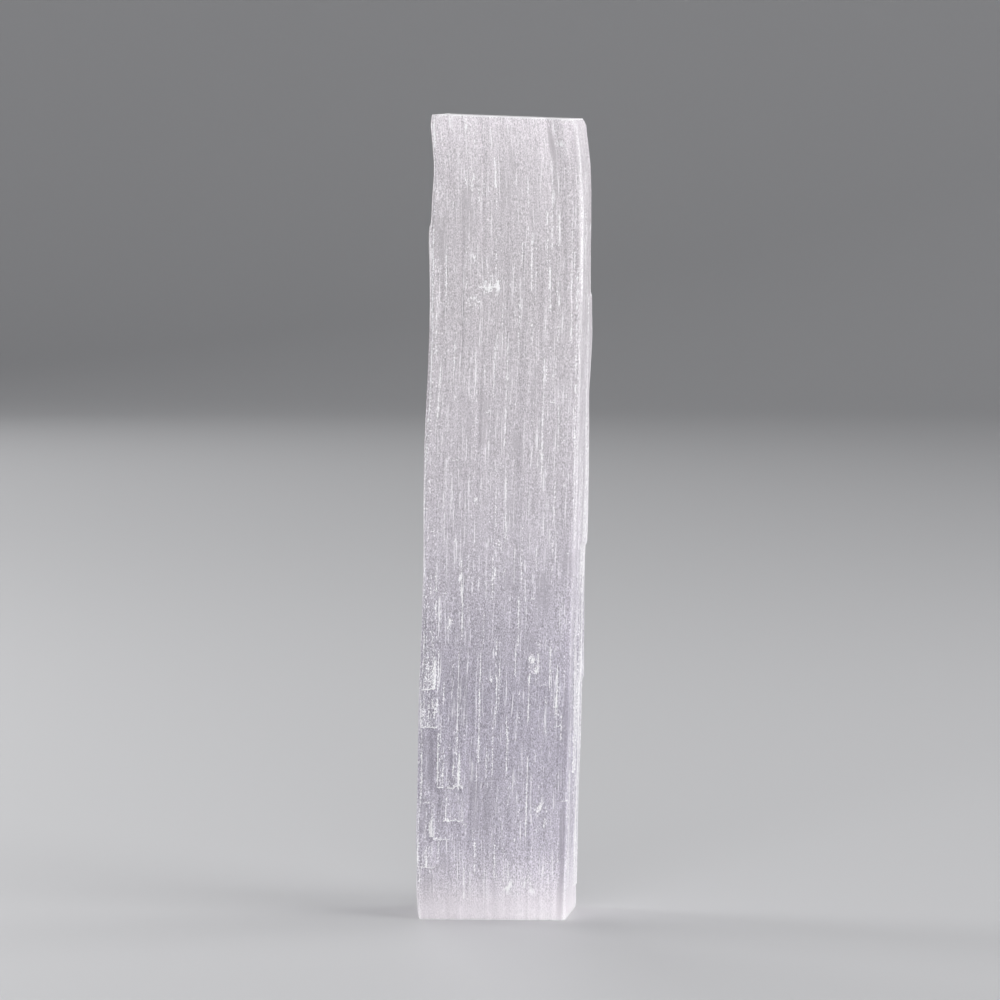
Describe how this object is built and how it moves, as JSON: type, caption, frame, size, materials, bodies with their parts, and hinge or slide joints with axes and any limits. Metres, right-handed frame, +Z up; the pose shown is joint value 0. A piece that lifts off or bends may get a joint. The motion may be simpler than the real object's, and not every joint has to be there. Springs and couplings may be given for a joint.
{
  "type": "selenite wand",
  "caption": "Upright bar of fibrous satin spar gypsum with silky ridged faces, split lamella ledges and sawn ends, standing free on its flat base.",
  "frame": {"origin": "on the sawn base, under the middle of the wand's outline box", "axes": "+Z up along the fibres, the broad front face looks along -Y, +X to the right of it"},
  "size_m": [0.0428, 0.0296, 0.1997],
  "materials": {
    "satin_spar": "silky, milky and translucent"
  },
  "bodies": {
    "root": {"wand": "satin_spar"}
  },
  "joints": []
}
